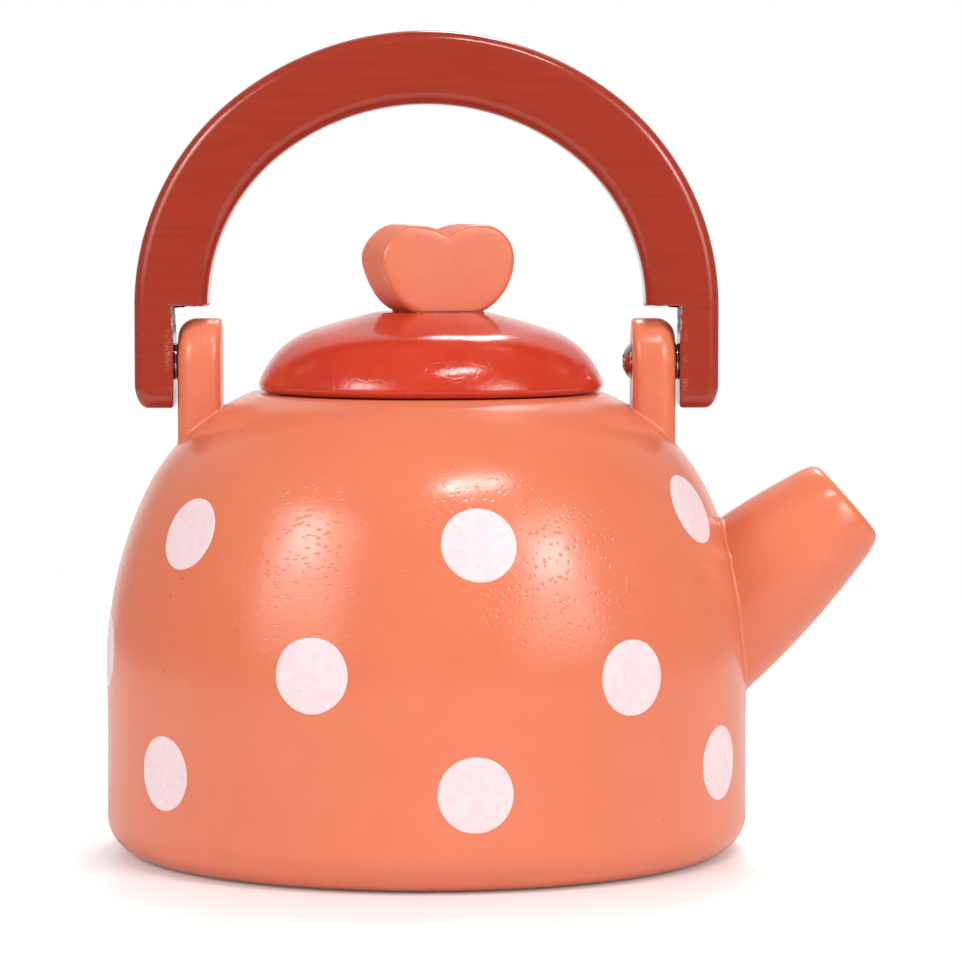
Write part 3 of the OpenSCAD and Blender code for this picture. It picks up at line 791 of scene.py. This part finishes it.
def screw_shell(sink):
    """A domed head let into the ear by sink, x = seat - h(r), with a cross-shaped recess, then a plain
    shank and a pointed tip. The recess is deep where, on its own turned axes, the smaller of |u| and |v| is
    under half a slot's width."""
    a = np.linspace(0, TURN, 96, endpoint=False)[None]
    seat, tip = screw_low[0] + HEAD_H + sink, screw_high[0]
    dome = arc_radius(HEAD_R, HEAD_H)
    r = np.r_[0, np.linspace(0.12, 2.0, 16), 2.2, 2.4, 2.6, 2.75, 2.86, 2.92, HEAD_R][:, None]
    height = np.sqrt(dome**2 - r**2) - dome + HEAD_H
    u, v = np.abs(r * np.cos(a + TURN / 8)), np.abs(r * np.sin(a + TURN / 8))
    slot = np.clip((RECESS_HALF_W - np.minimum(u, v)) / RECESS_SLOPE, 0, 1)
    slot = slot * np.clip((RECESS_REACH - np.maximum(u, v)) / RECESS_END, 0, 1)
    head = on_pivot(r, seat - height + RECESS_DEPTH * slot * slot * (3 - 2 * slot), a + 0 * r)
    shank_r = np.array([HEAD_R, SHANK_R, SHANK_R, 0])[:, None]
    shank_x = np.array([seat, seat, tip - SCREW_TIP, tip])[:, None]
    return np.concatenate([head, on_pivot(shank_r, shank_x + 0 * a, a + 0 * shank_r)])


def plug_shell():
    """A flush disc over the left screw's head: a profile eased at its outer edge, turned about the pivot."""
    face, back, radius = -plug_high[0], -plug_low[0], plug_high[1]
    profile = np.array([
        (0, face), (radius - PLUG_EASE, face), (radius, face + PLUG_EASE), (radius, back), (0, back)])
    a = np.linspace(0, TURN, 64, endpoint=False)[None]
    return on_pivot(profile[:, :1], profile[:, 1:] + 0 * a, a + 0 * profile[:, :1])


def washer_shell():
    """A flat ring: a profile whose outer edges are eased, turned about the pivot."""
    low, high, ease = washer_low[0], washer_high[0], WASHER_EASE
    eased_r = WASHER_R - ease / 4
    profile = np.array([
        (EAR_HOLE_R, low), (WASHER_R - ease, low), (eased_r, low + ease / 3), (WASHER_R, low + ease),
        (WASHER_R, high - ease), (eased_r, high - ease / 3), (WASHER_R - ease, high), (EAR_HOLE_R, high)])
    a = np.linspace(0, TURN, 80, endpoint=False)[None]
    return on_pivot(profile[:, :1], profile[:, 1:] + 0 * a, a + 0 * profile[:, :1])


# Finishes

class Nodes:
    """A node tree, with short ways to add nodes and link them."""

    def __init__(self, tree):
        self.tree = tree

    def put(self, socket, value):
        """Links another node's output to a socket, or sets a plain value on it."""
        if isinstance(value, bpy.types.NodeSocket):
            self.tree.links.new(value, socket)
        else:
            socket.default_value = value

    def feed(self, made, **inputs):
        """Sets inputs by name, with _ for a space."""
        for key, value in inputs.items():
            self.put(made.inputs[key.replace("_", " ")], value)

    def add(self, kind, settings=None, **inputs):
        """A node with its settings, whose inputs are given by name as a value or another node's output."""
        made = self.tree.nodes.new(kind)
        for key, value in (settings or {}).items():
            setattr(made, key, value)
        self.feed(made, **inputs)
        return made

    def remap(self, value, low, high, to_low=0.0, to_high=1.0):
        """Smooth step of a value between two limits."""
        made = self.add("ShaderNodeMapRange", {"interpolation_type": "SMOOTHSTEP"}, Value=value)
        for socket, limit in zip(made.inputs[1:5], (low, high, to_low, to_high)):
            self.put(socket, limit)
        return made.outputs[0]

    def math(self, operation, a, b):
        """One sum on two values."""
        made = self.add("ShaderNodeMath", {"operation": operation})
        self.put(made.inputs[0], a)
        self.put(made.inputs[1], b)
        return made.outputs[0]

    def times(self, a, b):
        """Product of two values."""
        return self.math("MULTIPLY", a, b)


class Finish(Nodes):
    """A material that starts from one Principled shader, patterned by Object coordinates in metres."""

    def __init__(self, name):
        self.material = bpy.data.materials.new(name)
        self.material.use_nodes = True
        super().__init__(self.material.node_tree)
        self.shader = self.tree.nodes["Principled BSDF"]
        self.place = self.add("ShaderNodeTexCoord").outputs["Object"]

    def stretch(self, scale):
        """Object coordinates scaled along each axis."""
        return self.add("ShaderNodeMapping", Vector=self.place, Scale=scale).outputs[0]

    def noise(self, scale, detail=2.0, roughness=0.5, vector=None):
        """Cloudy values about 0.5, with scale in cells a metre."""
        return self.add("ShaderNodeTexNoise", Vector=vector or self.place, Scale=scale, Detail=detail,
                        Roughness=roughness).outputs[0]

    def cells(self, scale, feature="F1", vector=None):
        """Distance to the nearest of scattered points, or to the edge between two of them."""
        return self.add("ShaderNodeTexVoronoi", {"feature": feature}, Vector=vector or self.place,
                        Scale=scale)

    def blend(self, share, a, b):
        """Colour a turned into colour b by a share."""
        made = self.add("ShaderNodeMix", {"data_type": "RGBA"}, Factor=share)
        for socket, colour in zip(made.inputs[6:8], (a, b)):
            self.put(socket, (*colour, 1.0) if isinstance(colour, tuple) else colour)
        return made.outputs[2]

    def mark(self, name):
        """A value kept on the piece's points."""
        return self.add("ShaderNodeAttribute", {"attribute_name": name}).outputs["Fac"]

    def ragged(self, name, scale, detail, share, low, high):
        """A mark with a ragged edge: the mark plus a share of cloudy noise, stepped between two limits."""
        cloud = self.times(self.noise(scale, detail), share)
        return self.remap(self.math("ADD", self.mark(name), cloud), low, high)

    def bumps(self, *layers):
        """Stacks relief: each layer is a height from 0 to 1 and its depth in millimetres."""
        normal = None
        for height, depth in layers:
            made = self.add("ShaderNodeBump", Height=height, Distance=depth * MM)
            if normal is not None:
                self.tree.links.new(normal, made.inputs["Normal"])
            normal = made.outputs[0]
        self.tree.links.new(normal, self.shader.inputs["Normal"])

    def done(self, **inputs):
        """Sets the shader's own sockets and gives the material."""
        self.feed(self.shader, **inputs)
        return self.material


def pits(finish, scale, flatness, size):
    """Small pits in paint, about scale a metre and flattened upright, each of its own size up to a share
    of the pitch."""
    dots = finish.cells(scale, vector=finish.stretch((1, 1, flatness)))
    chance = finish.add("ShaderNodeSeparateColor", Color=dots.outputs["Color"]).outputs[0]
    own = finish.remap(chance, 0, 1, size / 2, size)
    return finish.remap(finish.math("DIVIDE", dots.outputs["Distance"], own), 1.0, 0.2)


def wood_tone(finish, along):
    """Pale beech: long soft streaks along the grain and short dark flecks. Gives its colour and streaks."""
    streak = finish.noise(1, 4, 0.6, vector=finish.stretch(along))
    fleck = finish.cells(1, vector=finish.stretch(tuple(3.5 * s for s in along)))
    tone = finish.blend(finish.remap(streak, 0.3, 0.7), (0.60, 0.37, 0.18), (0.76, 0.55, 0.32))
    dark = finish.remap(fleck.outputs["Distance"], 0.22, 0.08, 0, 0.5)
    return finish.blend(dark, tone, (0.36, 0.19, 0.08)), streak


def coral_paint(name, pitted):
    """Satin coral paint brushed on wood: faint mottling, specks, and the slight orange peel that breaks
    up its highlights. On the big turned body the open grain leaves pits, short level ones where it runs
    along the wall and round ones where it ends. Inside the bore the wood is bare, and sawn edges are
    duller."""
    f = Finish(name)
    mottle = f.remap(f.noise(60, 3, 0.6), 0.3, 0.7)
    paint = f.blend(mottle, (0.740, 0.184, 0.090), (0.764, 0.202, 0.102))
    speck = f.remap(f.cells(150).outputs["Distance"], 0.05, 0.03)
    paint = f.blend(f.times(speck, f.remap(f.noise(45, 1), 0.52, 0.6)), paint, (0.70, 0.10, 0.045))
    bare = f.ragged("bare", 500, 2, 0.4, 0.55, 0.75)
    colour = f.blend(bare, paint, wood_tone(f, (260, 260, 22))[0])
    relief = [(f.noise(330, 2, 0.5), 0.032), (f.noise(1500, 2), 0.003 if pitted else 0.007)]
    if pitted:
        place = f.add("ShaderNodeSeparateXYZ", Vector=f.place).outputs
        round_pits = f.times(pits(f, 1000, 1.0, 0.48), f.remap(place["X"], -0.004, 0.010))
        level_pits = f.times(pits(f, 620, 3.0, 0.42), f.remap(place["X"], 0.010, -0.004))
        band = f.times(f.remap(place["Z"], 0.030, 0.042), f.remap(place["Z"], 0.068, 0.058))
        cloud = f.times(f.remap(f.noise(90, 2), 0.26, 0.42), band)
        holes = f.times(f.math("MAXIMUM", round_pits, level_pits), cloud)
        relief.append((f.math("SUBTRACT", 1.0, holes), 0.042))
    else:
        relief.append((f.times(pits(f, 260, 9.0, 0.30), f.remap(f.noise(90, 2), 0.48, 0.56)), 0.015))
    f.bumps(*relief)
    shine = (0.17, 0.23) if pitted else (0.23, 0.31)
    gloss = f.remap(f.noise(130, 3), 0.3, 0.7, *shine)
    dull = f.math("MAXIMUM", bare, f.mark("sawn"))
    return f.done(Base_Color=colour, Roughness=f.math("ADD", gloss, f.times(dull, 0.3)))


def lid_paint():
    """Gloss red-orange paint, thicker and wrinkled. Low on the crown it has patches of fine cracks, a
    little darker and duller, which show in its highlights. Painted shade, with some grime, darkens the
    bead at the knob's foot, and the plug is bare wood."""
    f = Finish("lid_paint")
    paint = f.blend(f.remap(f.noise(75, 3, 0.6), 0.3, 0.7), (0.562, 0.036, 0.012), (0.606, 0.046, 0.017))
    # Painted shade: the bead at the knob's foot is darkened as if in the knob's shadow, with some grime
    shade_and_grime = f.times(f.mark("shade_and_grime"), f.remap(f.noise(700, 2), 0.36, 0.52))
    paint = f.blend(shade_and_grime, paint, (0.12, 0.016, 0.009))
    bare = f.ragged("bare", 500, 2, 0.4, 0.55, 0.75)
    drift = f.add("ShaderNodeTexNoise", Vector=f.place, Scale=420.0, Detail=2.0).outputs["Color"]
    shift = f.add("ShaderNodeVectorMath", {"operation": "SCALE"}, Vector=drift, Scale=0.002).outputs[0]
    swirl = f.add("ShaderNodeVectorMath", {"operation": "ADD"})
    f.put(swirl.inputs[0], f.place)
    f.put(swirl.inputs[1], shift)
    edges = f.cells(420, "DISTANCE_TO_EDGE", vector=swirl.outputs[0]).outputs["Distance"]
    crack = f.remap(edges, 0.02, 0.09)
    height = f.add("ShaderNodeSeparateXYZ", Vector=f.place).outputs["Z"]
    low = f.remap(height, (LID_TOP - 3) * MM, (LID_TOP - 8) * MM)
    patch = f.times(low, f.remap(f.noise(200, 2), 0.38, 0.46))
    lines = f.math("MAXIMUM", crack, f.math("SUBTRACT", 1.0, patch))
    f.bumps((f.noise(360, 2, 0.5), 0.012), (f.noise(1100, 3, 0.65), 0.020), (f.noise(2600, 2, 0.6), 0.014),
            (lines, 0.010))
    gap = f.math("SUBTRACT", 1.0, lines)
    paint = f.blend(f.times(gap, 0.10), paint, (0.20, 0.010, 0.004))
    dull = f.math("ADD", f.times(bare, 0.45), f.times(gap, 0.075))
    gloss = f.remap(f.noise(150, 2), 0.3, 0.7, 0.12, 0.17)
    colour = f.blend(bare, paint, wood_tone(f, (200, 24, 200))[0])
    return f.done(Base_Color=colour, Roughness=f.math("ADD", gloss, dull))


def handle_paint():
    """Satin brick-red paint thin enough to show the plank's level grain. It is specked, and pale specks
    along the sawn edges paint a broken highlight, with some wear. The torn notch shows raw fibres, pale on
    their ridges and dark in the gaps between them, where the dark is painted shade."""
    f = Finish("handle_paint")
    level = f.stretch((70, 500, 1300))
    grain = f.noise(1, 3, 0.6, vector=level)
    paint = f.blend(f.remap(grain, 0.3, 0.7), (0.330, 0.031, 0.013), (0.370, 0.038, 0.018))
    line = f.remap(f.noise(1, 2, 0.5, vector=f.stretch((110, 500, 2600))), 0.64, 0.74)
    paint = f.blend(f.times(line, 0.12), paint, (0.52, 0.17, 0.12))
    # Pale specks along the sawn edges: a painted broken highlight, with some wear
    fine_specks = f.remap(f.noise(5200, 2, 0.6), 0.55, 0.63)
    glint_and_wear_specks = f.times(f.times(f.mark("glint_and_wear"), f.remap(f.noise(190, 2), 0.4, 0.6)), fine_specks)
    paint = f.blend(f.times(glint_and_wear_specks, 0.75), paint, (0.78, 0.56, 0.50))
    fibre = f.noise(1, 4, 0.7, vector=f.stretch((900, 260, 900)))
    # Torn fibres, pale on their ridges and near black in the gaps between them; the dark in the gaps is
    # painted shade
    raw_fibres_and_gap_shade = f.blend(f.remap(fibre, 0.38, 0.62), (0.075, 0.022, 0.016), (0.80, 0.70, 0.64))
    torn = f.ragged("torn", 1100, 3, 0.5, 0.5, 0.8)
    colour = f.blend(torn, paint, raw_fibres_and_gap_shade)
    f.bumps((grain, 0.012), (f.noise(800, 3, 0.6), 0.014), (f.noise(2600, 2, 0.6), 0.008),
            (f.times(fibre, torn), 0.25))
    gloss = f.remap(f.noise(240, 3), 0.3, 0.7, 0.11, 0.18)
    return f.done(Base_Color=colour, Roughness=f.math("ADD", gloss, f.times(torn, 0.4)))


def dot_paint():
    """Pale pink paint dabbed over the coral: slightly mottled, with pin-holes that let the coral show."""
    f = Finish("dot_paint")
    paint = f.blend(f.remap(f.noise(650, 3, 0.65), 0.3, 0.7), (0.870, 0.640, 0.665), (0.910, 0.705, 0.725))
    hole = f.remap(f.cells(620).outputs["Distance"], 0.13, 0.06)
    hole = f.times(hole, f.remap(f.noise(170, 2), 0.47, 0.58))
    colour = f.blend(f.times(hole, 0.7), paint, (0.84, 0.34, 0.29))
    f.bumps((f.noise(520, 3, 0.6), 0.03), (f.math("SUBTRACT", 1.0, hole), 0.05))
    return f.done(Base_Color=colour, Roughness=f.remap(f.noise(200, 2), 0.3, 0.7, 0.34, 0.44))


def bare_wood():
    """Unpainted beech with its grain along the pin."""
    f = Finish("bare_wood")
    tone, streak = wood_tone(f, (300, 300, 24))
    f.bumps((streak, 0.04))
    return f.done(Base_Color=tone, Roughness=f.remap(streak, 0.3, 0.7, 0.55, 0.7))


def screw_steel():
    """Bright zinc plating: clouded grey metal with fine scratches about the pivot axis."""
    f = Finish("screw_steel")
    cloud = f.noise(700, 3, 0.6)
    scratch = f.noise(1, 3, 0.7, vector=f.stretch((9000, 900, 900)))
    tone = f.blend(f.remap(cloud, 0.3, 0.7), (0.52, 0.51, 0.50), (0.66, 0.66, 0.67))
    f.bumps((scratch, 0.006), (cloud, 0.01))
    return f.done(Base_Color=tone, Metallic=1.0, Roughness=f.remap(scratch, 0.3, 0.7, 0.14, 0.26))


# Pieces

coral, smooth_coral = coral_paint("coral_paint", True), coral_paint("smooth_coral_paint", False)
red, brick = lid_paint(), handle_paint()
pink, beech, steel = dot_paint(), bare_wood(), screw_steel()

body_grid, body_bare = body_shell()
make_piece("kettle_body", [turned(body_grid)], "kettle", ["body"], coral,
           marks={"bare": [body_bare]})
make_piece("painted_dots", dot_shells(), "kettle", ["polka_dots"], pink, sharp=60)
make_piece("spout_turning", [spout_shell(), spout_bead()], "kettle", ["spout"], smooth_coral)

ear_foot = ear_bead()
make_piece("right_ear_post", [tube(ear_shell(0)), ear_foot], "kettle", ["right_ear"],
           smooth_coral)
make_piece("left_ear_post", [tube(other_side(ear_shell(LEFT_SINK))), tube(other_side(ear_foot[0]))],
           "kettle", ["left_ear"], smooth_coral)

bow_shells, bow_marks = handle_shells()
make_piece("bow_handle", bow_shells, "bow", ["handle"], brick, marks=bow_marks)
make_piece("right_screw", [turned(screw_shell(0))], "bow", ["right_pivot_screw"], steel)
make_piece("left_screw", [turned(other_side(screw_shell(LEFT_SINK)))], "bow", ["left_pivot_screw"],
           steel)
make_piece("left_ear_plug", [turned(other_side(plug_shell()))], "kettle", ["left_plug"],
           smooth_coral)
make_piece("right_ring", [tube(washer_shell())], "bow", ["right_washer"], steel)
make_piece("left_ring", [tube(other_side(washer_shell()))], "bow", ["left_washer"], steel)

lid, lid_bare = lid_shell()
make_piece("lid_turning", [lid], "cover", ["lid"], red, marks={"bare": [lid_bare]})
knob, knob_sawn = knob_shell()
make_piece("heart_knob", [knob], "cover", ["knob"], smooth_coral, marks={"sawn": [knob_sawn]})
foot = knob_bead()
# The whole bead carries the mark that darkens it in lid_paint: painted shade at the knob's foot, with some
# grime
make_piece("knob_foot_bead", [foot], "cover", [], red,
           marks={"shade_and_grime": [np.ones(foot[0].shape[:2])]})

for node in ("spout_dowel", "knob_dowel"):
    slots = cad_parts[node].data.materials
    slots.clear()
    slots.append(beech)


# Studio: the picture in pixels, the sensor in millimetres, places in metres, camera turns in radians

PHOTO_SIDE = 962
FOCAL_PIXELS = 4439.66
SENSOR = 36
FLOOR_REACH = 0.45
FLOOR_DROP = 0.03 * MM
CAMERA_PLACE = (0, -0.720, 0.10988)
CAMERA_DIP, CAMERA_YAW = 0.06944, 0.01223

# Azimuth and elevation in degrees, width, height and distance in metres, radiance
LAMPS = {
    "left_softbox": (-48, 24, 0.74, 0.80, 1.15, 1.65),
    "left_middle": (-49, 28, 0.52, 0.56, 1.1, 2.0),
    "left_core": (-51, 33, 0.25, 0.27, 1.05, 7.6),
    "right_softbox": (49, 22, 0.64, 0.86, 1.15, 1.7),
    "right_middle": (50, 24, 0.44, 0.60, 1.1, 2.2),
    "right_core": (50, 28, 0.25, 0.21, 1.05, 9.0),
    "top_strip": (29, 61, 0.40, 0.08, 1.1, 36),
    "back_strip": (171, 49, 0.24, 0.26, 1.1, 15),
}


def studio_floor():
    """A pale disc just under the kettle. Light bounces off it as off white paper; to the camera it glows
    to white away from the kettle, and keeps the soft shadow and a faint sheen near it. Its glow is turned
    down near the kettle so that the shadow shows, and further at the kettle's foot, which paints a dark
    contact shadow there."""
    rings = np.r_[0, np.geomspace(0.05, FLOOR_REACH, 12)][:, None]
    a = np.linspace(0, TURN, 96, endpoint=False)
    disc = np.stack([rings * np.cos(a), rings * np.sin(a), 0 * a - FLOOR_DROP + 0 * rings], axis=-1)
    faces = grid_faces(*disc.shape[:2], False, True)[:, ::-1]
    mesh = bpy.data.meshes.new("studio_floor")
    mesh.from_pydata(disc.reshape(-1, 3).tolist(), [], faces.tolist())
    build = bmesh.new()
    build.from_mesh(mesh)
    bmesh.ops.remove_doubles(build, verts=build.verts, dist=1e-7)
    build.to_mesh(mesh)
    build.free()
    f = Finish("paper_floor")
    f.tree.nodes.remove(f.shader)
    away = f.add("ShaderNodeVectorMath", {"operation": "LENGTH"}, Vector=f.place).outputs["Value"]
    paper = f.add("ShaderNodeBsdfDiffuse", Color=(0.88, 0.87, 0.86, 1))
    shown = f.add("ShaderNodeBsdfDiffuse", Color=(0.70, 0.70, 0.70, 1))
    # The glow dims towards the kettle and drops at its foot: a painted contact shadow
    strength = f.times(f.remap(away, 0.05, 0.12, 0.44, 1.0), f.remap(away, 0.045, 0.052, 0.3, 1.0))
    glow = f.add("ShaderNodeEmission", Color=(1, 1, 1, 1), Strength=strength)
    sheen = f.add("ShaderNodeBsdfGlossy", Color=(1, 1, 1, 1), Roughness=0.45)
    lit = f.add("ShaderNodeAddShader")
    polished = f.add("ShaderNodeMixShader")
    split = f.add("ShaderNodeMixShader")
    polished.inputs[0].default_value = 0.36
    f.put(split.inputs[0], f.add("ShaderNodeLightPath").outputs["Is Camera Ray"])
    surface = f.tree.nodes["Material Output"].inputs["Surface"]
    for source, target in ((shown, lit.inputs[0]), (glow, lit.inputs[1]),
                           (lit, polished.inputs[1]), (sheen, polished.inputs[2]),
                           (paper, split.inputs[1]), (polished, split.inputs[2]), (split, surface)):
        f.put(target, source.outputs[0])
    mesh.materials.append(f.material)
    floor = bpy.data.objects.new("studio_floor", mesh)
    bpy.context.scene.collection.objects.link(floor)


def studio_world():
    """Pale high behind the kettle, falling to grey in front and low down. The camera sees white all
    round, and polished surfaces reflect white from straight behind."""
    world = bpy.data.worlds.new("studio")
    bpy.context.scene.world = world
    world.use_nodes = True
    sky = Nodes(world.node_tree)
    way = sky.add("ShaderNodeTexCoord").outputs["Generated"]
    split = sky.add("ShaderNodeSeparateXYZ", Vector=way).outputs
    rays = sky.add("ShaderNodeLightPath").outputs
    height = sky.remap(split["Z"], 0.0, 0.8, 0.30, 1.0)
    light = sky.remap(split["Y"], 0.25, 0.85, 0.2, height)
    reflected = sky.math("MAXIMUM", rays["Is Glossy Ray"], rays["Is Transmission Ray"])
    behind = sky.times(reflected, sky.remap(split["Y"], 0.74, 0.99))
    shown = sky.math("MAXIMUM", rays["Is Camera Ray"], behind)
    sky.feed(sky.tree.nodes["Background"], Color=(1, 1, 1, 1), Strength=sky.math("MAXIMUM", light, shown))


def softbox(name, azimuth, elevation, width, height, distance, radiance):
    """A rectangular lamp that faces the kettle's middle, at an azimuth from the front towards +X and an
    elevation. Its power is radiance times pi times its area."""
    lamp = bpy.data.lights.new(name, "AREA")
    lamp.shape = "RECTANGLE"
    lamp.size, lamp.size_y = width, height
    lamp.energy = radiance * math.pi * width * height
    made = bpy.data.objects.new(name, lamp)
    a, e = math.radians(azimuth), math.radians(elevation)
    aim = np.array([0, 0, BODY_H / 2 * MM])
    towards = np.array([math.cos(e) * math.sin(a), -math.cos(e) * math.cos(a), math.sin(e)])
    made.location = aim + distance * towards
    made.rotation_euler = (math.pi / 2 - e, 0, a)
    made.visible_camera = False
    bpy.context.scene.collection.objects.link(made)


studio_floor()
studio_world()
for lamp_name, setting in LAMPS.items():
    softbox(lamp_name, *setting)

lens = bpy.data.cameras.new("photo_camera")
lens.sensor_width = SENSOR
lens.lens = FOCAL_PIXELS * SENSOR / PHOTO_SIDE
camera = bpy.data.objects.new("photo_camera", lens)
camera.location = CAMERA_PLACE
camera.rotation_euler = (math.pi / 2 - CAMERA_DIP, 0, -CAMERA_YAW)
bpy.context.scene.collection.objects.link(camera)
bpy.context.scene.camera = camera
bpy.context.scene.view_settings.view_transform = "Standard"
